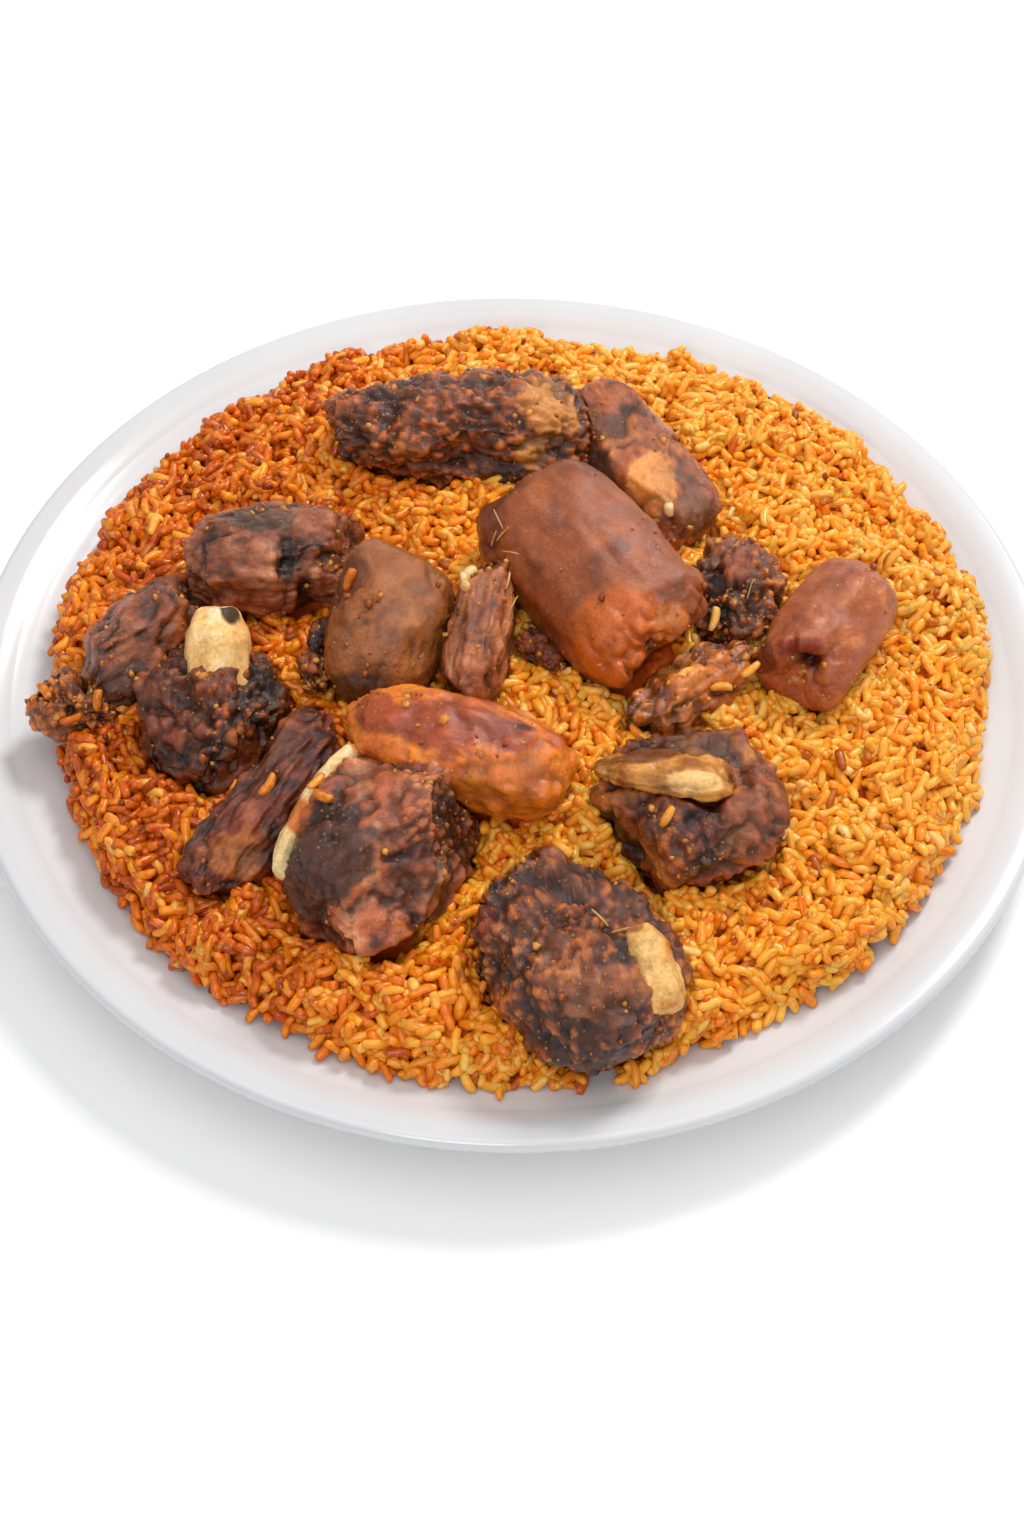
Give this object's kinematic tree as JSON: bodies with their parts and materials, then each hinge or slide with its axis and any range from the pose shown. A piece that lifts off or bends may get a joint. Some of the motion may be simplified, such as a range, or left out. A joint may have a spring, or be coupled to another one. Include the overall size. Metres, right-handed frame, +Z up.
{
  "type": "plate of jollof rice",
  "caption": "Round white plate heaped with orange jollof rice and topped with fried and stewed pieces of meat, some on the bone.",
  "frame": {"origin": "centre of the plate's foot, on the table", "axes": "+Z up, -Y towards the diner, +X to the diner's right"},
  "size_m": [0.3298, 0.3298, 0.0729],
  "materials": {
    "glazed_stoneware": "glossy",
    "jollof_rice": "cooked rice, oily",
    "fried_meat": "browned crust, oily",
    "stewed_skin": "glazed skin",
    "golden_crust": "glazed crust",
    "cooked_bone": "satin"
  },
  "bodies": {
    "root": {"plate": "glazed_stoneware", "rice": "jollof_rice", "skin_barrel": "stewed_skin", "golden_oval": "golden_crust", "tail_roll": "stewed_skin", "crusty_rib": "fried_meat", "slab": "fried_meat", "char_lump": "fried_meat", "round_left": "fried_meat", "heart_lobe": "fried_meat", "heart_slice": "fried_meat", "block_front": "fried_meat", "shank_left": "fried_meat", "wedge_left": "fried_meat", "crumbly_end": "fried_meat", "rib_strip": "fried_meat", "chunk_right": "fried_meat", "tendon_flap": "fried_meat", "scrap_left": "fried_meat", "scrap_middle": "fried_meat", "knuckle_front": "fried_meat", "shank_bone": "cooked_bone", "block_bone": "cooked_bone", "chunk_bone": "cooked_bone", "knuckle_bone": "cooked_bone"}
  },
  "joints": []
}
